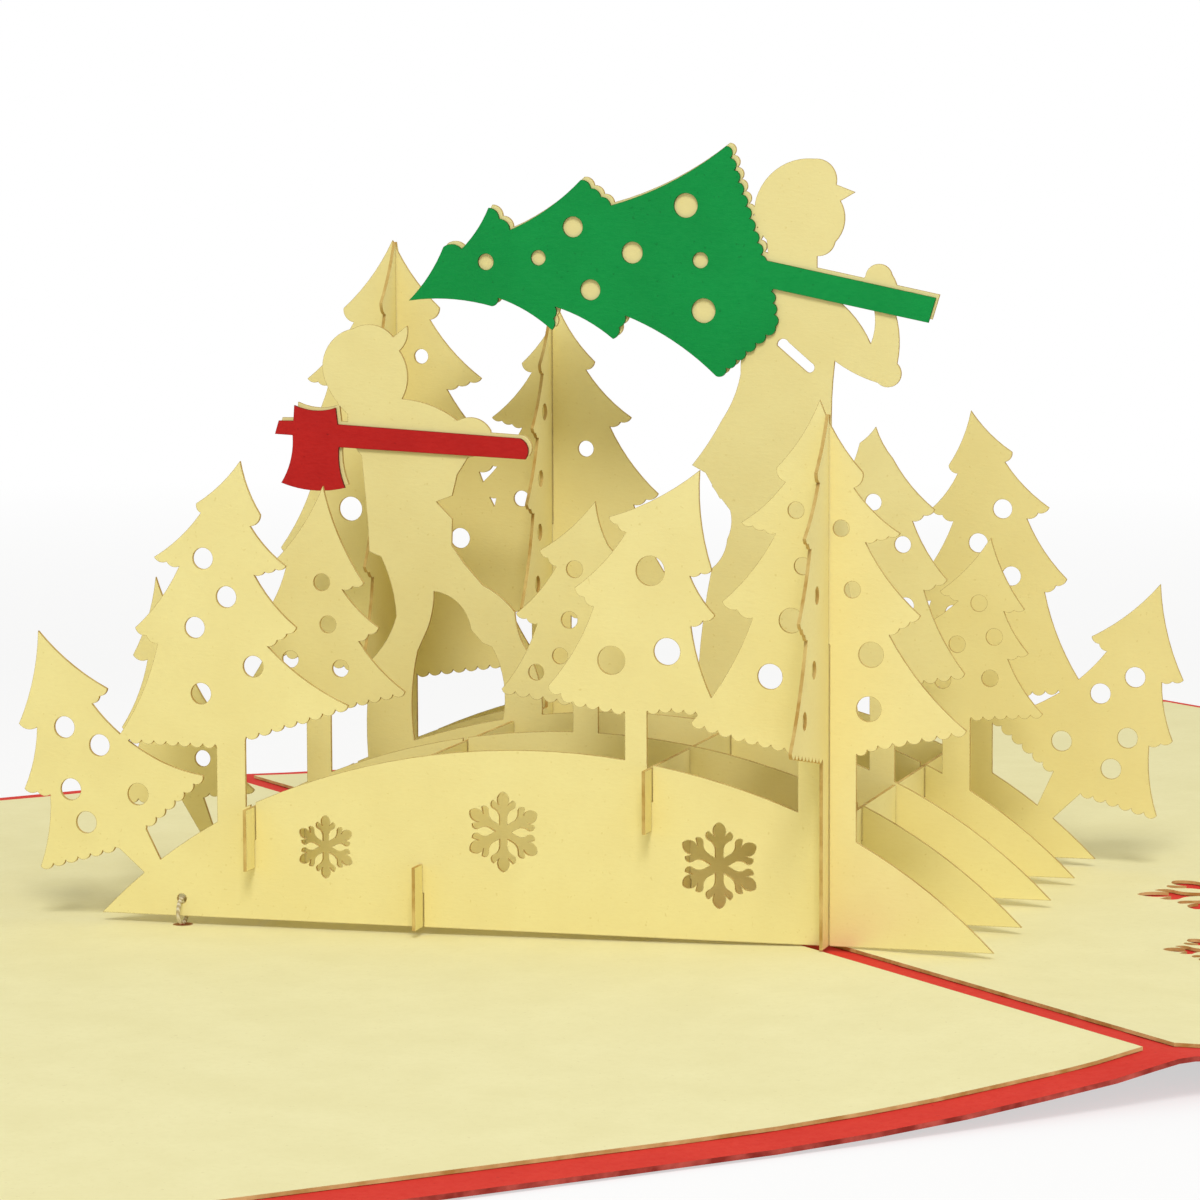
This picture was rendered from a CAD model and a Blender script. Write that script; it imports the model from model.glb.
import math

import bpy
from mathutils import Matrix, Vector

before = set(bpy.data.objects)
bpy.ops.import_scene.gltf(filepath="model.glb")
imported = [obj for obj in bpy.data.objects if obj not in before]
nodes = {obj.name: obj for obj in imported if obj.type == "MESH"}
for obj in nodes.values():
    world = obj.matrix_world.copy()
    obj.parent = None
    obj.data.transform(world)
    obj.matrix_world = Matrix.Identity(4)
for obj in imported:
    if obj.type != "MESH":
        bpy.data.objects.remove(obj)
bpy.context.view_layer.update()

# Metres. The spine of the card runs along Y and the near end is at -Y.
HILLS = ["front_hill", "second_hill", "figure_hill", "fourth_hill", "rear_hill"]
RIBS = ["left_rib", "left_inner_rib", "right_inner_rib", "right_rib"]
LATTICE_TURN = math.pi / 4
LEAN = math.radians(0.732)

# A polygon belongs to a sheet's face when its normal agrees with the sheet's by more than this
FACING_SHARE = 0.7

# Scorched line beside a cut: its width, and how far the rounded normal turns from none to all of it
BURNT_RIM = 0.00009
RIM_SAMPLES = 4
RIM_STARTS = 0.999
RIM_FULL = 0.93

# Grain of the materials, in features per metre
CLOUD_SCALE = 160
FIBRE_SCALE = 1500
FIBRE_STRETCH = 2.6
FLECK_SCALE = 2600
SCORCH_SCALE = 420
SOOT_SCALE = 3500
STRAND_SCALE = 900
STRAND_DISTORTION = 1.5

# Height of the grain
PAPER_RELIEF = 0.00002
CARD_RELIEF = 0.00003
SOOT_RELIEF = 0.00003
STRAND_RELIEF = 0.00008

# Share of gloss on paper faces and on cut edges
PAPER_GLOSS = 0.25
EDGE_GLOSS = 0.2

# Floor, with the distances from the object where it starts to fade to white and where it has faded
FLOOR_HALF = 5.0
FLOOR_DROP = 0.0002
FLOOR_UNSEEN = (0.82, 0.82, 0.82, 1)
FLOOR_SEEN = (0.98, 0.98, 0.98, 1)
FADE_NEAR = 0.2
FADE_FAR = 0.5
FADE_LEAST = 0.6

# Studio light
WORLD_STRENGTH = 0.52
LAMP_TARGET = (0, 0, 0.02)
KEY_PLACE = (-0.55, -0.95, 1.3)
KEY_SIZE = 0.5
KEY_POWER = 13.0
FILL_PLACE = (0.9, -0.5, 0.8)
FILL_SIZE = 0.9
FILL_POWER = 2.0

# Camera as fitted to the photograph
CAMERA_PLACE = (-0.19785, -0.35209, 0.07472)
CAMERA_YAW = 0.5079
CAMERA_PITCH = 0.1106
CAMERA_ROLL = 0.0028
CAMERA_LENS = 129.3
CAMERA_SENSOR = 36
CAMERA_NEAR = 0.01
CAMERA_FAR = 50


def rgb(text):
    """Linear colour from a written web colour."""
    values = [int(text[place:place + 2], 16) / 255 for place in (0, 2, 4)]
    return [v / 12.92 if v <= 0.04045 else ((v + 0.055) / 1.055) ** 2.4 for v in values] + [1.0]


class Nodes:
    """Short calls for building one material's nodes."""

    def __init__(self, name):
        self.material = bpy.data.materials.new(name)
        self.material.use_nodes = True
        self.tree = self.material.node_tree
        self.shader = self.tree.nodes["Principled BSDF"]

    def add(self, kind, **settings):
        node = self.tree.nodes.new(kind)
        for key, value in settings.items():
            setattr(node, key, value)
        return node

    def link(self, source, target):
        self.tree.links.new(source, target)

    def place(self, scale=(1, 1, 1), turn=0.0):
        """Coordinates on the object, turned about the upright axis and stretched."""
        coordinates = self.add("ShaderNodeTexCoord")
        mapping = self.add("ShaderNodeMapping")
        mapping.inputs["Rotation"].default_value = (0, 0, turn)
        mapping.inputs["Scale"].default_value = scale
        self.link(coordinates.outputs["Object"], mapping.inputs["Vector"])
        return mapping.outputs["Vector"]

    def noise(self, vector, scale, detail=3.0, roughness=0.55):
        node = self.add("ShaderNodeTexNoise")
        node.inputs["Scale"].default_value = scale
        node.inputs["Detail"].default_value = detail
        node.inputs["Roughness"].default_value = roughness
        self.link(vector, node.inputs["Vector"])
        return node.outputs["Fac"]

    def spread(self, value, low, high, to_low, to_high):
        """Value between low and high, carried over to the range between to_low and to_high."""
        node = self.add("ShaderNodeMapRange")
        node.inputs["From Min"].default_value = low
        node.inputs["From Max"].default_value = high
        node.inputs["To Min"].default_value = to_low
        node.inputs["To Max"].default_value = to_high
        self.link(value, node.inputs["Value"])
        return node.outputs["Result"]

    def mix(self, factor, first, second):
        """Blend of two colours. Inputs 6 and 7 and output 2 are the node's colour sockets."""
        node = self.add("ShaderNodeMix", data_type="RGBA")
        self.link(factor, node.inputs[0])
        for value, socket in ((first, node.inputs[6]), (second, node.inputs[7])):
            if isinstance(value, bpy.types.NodeSocket):
                self.link(value, socket)
            else:
                socket.default_value = value
        return node.outputs[2]

    def rim(self, width, tone, dark):
        """Narrow scorched line where the sheet's face turns into a cut edge."""
        rounded = self.add("ShaderNodeBevel", samples=RIM_SAMPLES)
        rounded.inputs["Radius"].default_value = width
        sharp = self.add("ShaderNodeNewGeometry")
        same = self.add("ShaderNodeVectorMath", operation="DOT_PRODUCT")
        self.link(rounded.outputs["Normal"], same.inputs[0])
        self.link(sharp.outputs["True Normal"], same.inputs[1])
        return self.mix(self.spread(same.outputs["Value"], RIM_STARTS, RIM_FULL, 0.0, 1.0), tone, dark)

    def bump(self, height, distance):
        node = self.add("ShaderNodeBump")
        node.inputs["Strength"].default_value = 1.0
        node.inputs["Distance"].default_value = distance
        self.link(height, node.inputs["Height"])
        return node.outputs["Normal"]


def paper(name, pale, deep, fleck, burn, turn=0.0, relief=PAPER_RELIEF):
    """Uncoated paper: cloudy formation, short fibres, a few flecks, a soft tooth and a burnt rim."""
    made = Nodes(name)
    plain = made.place(turn=turn)
    long_way = made.place((1.0, 1.0, FIBRE_STRETCH), turn)
    cloud = made.spread(made.noise(plain, CLOUD_SCALE, detail=2.0), 0.3, 0.7, 0.0, 0.55)
    fibre = made.noise(long_way, FIBRE_SCALE, detail=4.0, roughness=0.65)
    tone = made.mix(cloud, rgb(pale), rgb(deep))
    tone = made.mix(made.spread(fibre, 0.45, 0.72, 0.0, 0.35), tone, rgb(deep))
    specks = made.spread(made.noise(plain, FLECK_SCALE, detail=1.0), 0.70, 0.80, 0.0, 0.5)
    tone = made.mix(specks, tone, rgb(fleck))
    made.link(made.rim(BURNT_RIM, tone, rgb(burn)), made.shader.inputs["Base Color"])
    made.link(made.spread(fibre, 0.3, 0.7, 0.78, 0.95), made.shader.inputs["Roughness"])
    made.shader.inputs["Specular IOR Level"].default_value = PAPER_GLOSS
    made.link(made.bump(fibre, relief), made.shader.inputs["Normal"])
    return made.material


def burnt(name, light, dark):
    """Edge left by the laser: uneven scorch from tan to brown."""
    made = Nodes(name)
    plain = made.place()
    scorch = made.noise(plain, SCORCH_SCALE, detail=3.0, roughness=0.6)
    soot = made.noise(plain, SOOT_SCALE, detail=2.0)
    tone = made.mix(made.spread(scorch, 0.35, 0.65, 0.0, 1.0), rgb(light), rgb(dark))
    made.link(tone, made.shader.inputs["Base Color"])
    made.link(made.spread(soot, 0.3, 0.7, 0.7, 0.95), made.shader.inputs["Roughness"])
    made.shader.inputs["Specular IOR Level"].default_value = EDGE_GLOSS
    made.link(made.bump(soot, SOOT_RELIEF), made.shader.inputs["Normal"])
    return made.material


def cotton(name, pale, deep):
    """Twisted thread: slanting strands along the loop."""
    made = Nodes(name)
    wave = made.add("ShaderNodeTexWave", bands_direction="DIAGONAL")
    wave.inputs["Scale"].default_value = STRAND_SCALE
    wave.inputs["Distortion"].default_value = STRAND_DISTORTION
    made.link(made.place(), wave.inputs["Vector"])
    strands = wave.outputs["Fac"]
    made.link(made.mix(strands, rgb(deep), rgb(pale)), made.shader.inputs["Base Color"])
    made.link(made.spread(strands, 0.0, 1.0, 0.95, 0.75), made.shader.inputs["Roughness"])
    made.link(made.bump(strands, STRAND_RELIEF), made.shader.inputs["Normal"])
    return made.material


def dress(name, face, edge, normal):
    """Face material on the sheet's two sides and edge material on every cut."""
    mesh = nodes[name].data
    mesh.materials.clear()
    mesh.materials.append(face)
    mesh.materials.append(edge)
    for polygon in mesh.polygons:
        polygon.material_index = 0 if abs(polygon.normal.dot(normal)) > FACING_SHARE else 1


across = math.sin(LATTICE_TURN)
toward = -math.cos(LATTICE_TURN) * math.cos(LEAN)
hill_normal = Vector((-across, toward, math.sin(LEAN)))
rib_normal = Vector((across, toward, math.sin(LEAN)))
upright = Vector((0, 0, 1))

hill_paper = paper("hill_paper", "F6EAA6", "EFE09A", "E0CE80", "9A7A38", LATTICE_TURN)
rib_paper = paper("rib_paper", "F6EAA6", "EFE09A", "E0CE80", "9A7A38", -LATTICE_TURN)
liner_paper = paper("liner_paper", "F2EBB6", "EAE2AA", "DCD196", "B09A55")
scorch = burnt("scorched_edge", "D8BC74", "B8924A")
liner_edge = burnt("scorched_liner_edge", "DCC584", "B8954E")
cover_card = paper("cover_card", "DD3B2E", "D03026", "B0241C", "A82A22", 0.0, CARD_RELIEF)
cover_edge = burnt("cover_cut_edge", "C8564A", "8E2A20")
green_card = paper("green_card", "0A9A48", "078C40", "066C30", "2A5A28", LATTICE_TURN, CARD_RELIEF)
green_edge = burnt("green_cut_edge", "3A6A30", "22401C")
red_card = paper("red_card", "C82422", "B41C1C", "861414", "5A1C14", LATTICE_TURN, CARD_RELIEF)
red_edge = burnt("red_cut_edge", "7A3A20", "4A1C12")
thread = cotton("tie_thread", "E8DFC4", "B8A67C")

for hill in HILLS:
    dress(hill, hill_paper, scorch, hill_normal)
for rib in RIBS:
    dress(rib, rib_paper, scorch, rib_normal)
dress("felled_tree", green_card, green_edge, hill_normal)
dress("axe", red_card, red_edge, hill_normal)
dress("cover", cover_card, cover_edge, upright)
dress("liner_left", liner_paper, liner_edge, upright)
dress("liner_right", liner_paper, liner_edge, upright)
for tie in ("tie_left", "tie_right"):
    nodes[tie].data.materials.clear()
    nodes[tie].data.materials.append(thread)


def white_floor():
    """Pale floor that keeps the object's shadow and fades to plain white far from it."""
    made = Nodes("floor_white")
    tree = made.tree
    rays = made.add("ShaderNodeLightPath")
    seen = made.mix(rays.outputs["Is Camera Ray"], FLOOR_UNSEEN, FLOOR_SEEN)
    made.link(seen, made.shader.inputs["Base Color"])
    made.shader.inputs["Roughness"].default_value = 0.9
    made.shader.inputs["Specular IOR Level"].default_value = 0.0
    coordinates = made.add("ShaderNodeTexCoord")
    distance = made.add("ShaderNodeVectorMath", operation="LENGTH")
    made.link(coordinates.outputs["Object"], distance.inputs[0])
    far = made.spread(distance.outputs["Value"], FADE_NEAR, FADE_FAR, FADE_LEAST, 1.0)
    glow = made.add("ShaderNodeEmission")
    blend = made.add("ShaderNodeMixShader")
    gate = made.add("ShaderNodeMath", operation="MULTIPLY")
    made.link(far, gate.inputs[0])
    made.link(rays.outputs["Is Camera Ray"], gate.inputs[1])
    made.link(gate.outputs[0], blend.inputs[0])
    made.link(made.shader.outputs[0], blend.inputs[1])
    made.link(glow.outputs[0], blend.inputs[2])
    made.link(blend.outputs[0], tree.nodes["Material Output"].inputs["Surface"])
    mesh = bpy.data.meshes.new("floor")
    half = FLOOR_HALF
    corners = [(-half, -half, 0), (half, -half, 0), (half, half, 0), (-half, half, 0)]
    mesh.from_pydata(corners, [], [(0, 1, 2, 3)])
    floor = bpy.data.objects.new("floor", mesh)
    floor.location = (0, 0, -FLOOR_DROP)
    mesh.materials.append(made.material)
    bpy.context.scene.collection.objects.link(floor)


def white_world(strength):
    """Even studio surround, plain white where the camera, glass or gloss sees it."""
    world = bpy.data.worlds.new("studio")
    bpy.context.scene.world = world
    world.use_nodes = True
    tree = world.node_tree
    surround = tree.nodes["Background"]
    surround.inputs["Color"].default_value = (1.0, 0.99, 0.97, 1)
    surround.inputs["Strength"].default_value = strength
    white = tree.nodes.new("ShaderNodeBackground")
    white.inputs["Color"].default_value = (1, 1, 1, 1)
    white.inputs["Strength"].default_value = 1.0
    rays = tree.nodes.new("ShaderNodeLightPath")
    first = tree.nodes.new("ShaderNodeMath")
    first.operation = "MAXIMUM"
    second = tree.nodes.new("ShaderNodeMath")
    second.operation = "MAXIMUM"
    blend = tree.nodes.new("ShaderNodeMixShader")
    tree.links.new(rays.outputs["Is Camera Ray"], first.inputs[0])
    tree.links.new(rays.outputs["Is Glossy Ray"], first.inputs[1])
    tree.links.new(first.outputs[0], second.inputs[0])
    tree.links.new(rays.outputs["Is Transmission Ray"], second.inputs[1])
    tree.links.new(second.outputs[0], blend.inputs[0])
    tree.links.new(surround.outputs[0], blend.inputs[1])
    tree.links.new(white.outputs[0], blend.inputs[2])
    tree.links.new(blend.outputs[0], tree.nodes["World Output"].inputs["Surface"])


def lamp(name, place, target, size, power):
    """Square area lamp that faces the target."""
    data = bpy.data.lights.new(name, "AREA")
    data.size = size
    data.energy = power
    light = bpy.data.objects.new(name, data)
    light.location = place
    aim = Vector(target) - Vector(place)
    light.rotation_euler = aim.to_track_quat("-Z", "Y").to_euler()
    bpy.context.scene.collection.objects.link(light)


def photo_camera():
    """Camera at the photograph's place, turned by yaw, pitch and roll."""
    forward = Vector((
        math.sin(CAMERA_YAW) * math.cos(CAMERA_PITCH),
        math.cos(CAMERA_YAW) * math.cos(CAMERA_PITCH),
        -math.sin(CAMERA_PITCH),
    ))
    level = Vector((math.cos(CAMERA_YAW), -math.sin(CAMERA_YAW), 0))
    above = level.cross(forward)
    right = level * math.cos(CAMERA_ROLL) + above * math.sin(CAMERA_ROLL)
    up = above * math.cos(CAMERA_ROLL) - level * math.sin(CAMERA_ROLL)
    data = bpy.data.cameras.new("camera")
    data.sensor_width = CAMERA_SENSOR
    data.lens = CAMERA_LENS
    data.clip_start = CAMERA_NEAR
    data.clip_end = CAMERA_FAR
    camera = bpy.data.objects.new("camera", data)
    turn = Matrix((right, up, -forward)).transposed().to_4x4()
    camera.matrix_world = Matrix.Translation(CAMERA_PLACE) @ turn
    bpy.context.scene.collection.objects.link(camera)
    bpy.context.scene.camera = camera


white_floor()
white_world(WORLD_STRENGTH)
lamp("key", KEY_PLACE, LAMP_TARGET, KEY_SIZE, KEY_POWER)
lamp("fill", FILL_PLACE, LAMP_TARGET, FILL_SIZE, FILL_POWER)
photo_camera()
bpy.context.scene.view_settings.view_transform = "Standard"
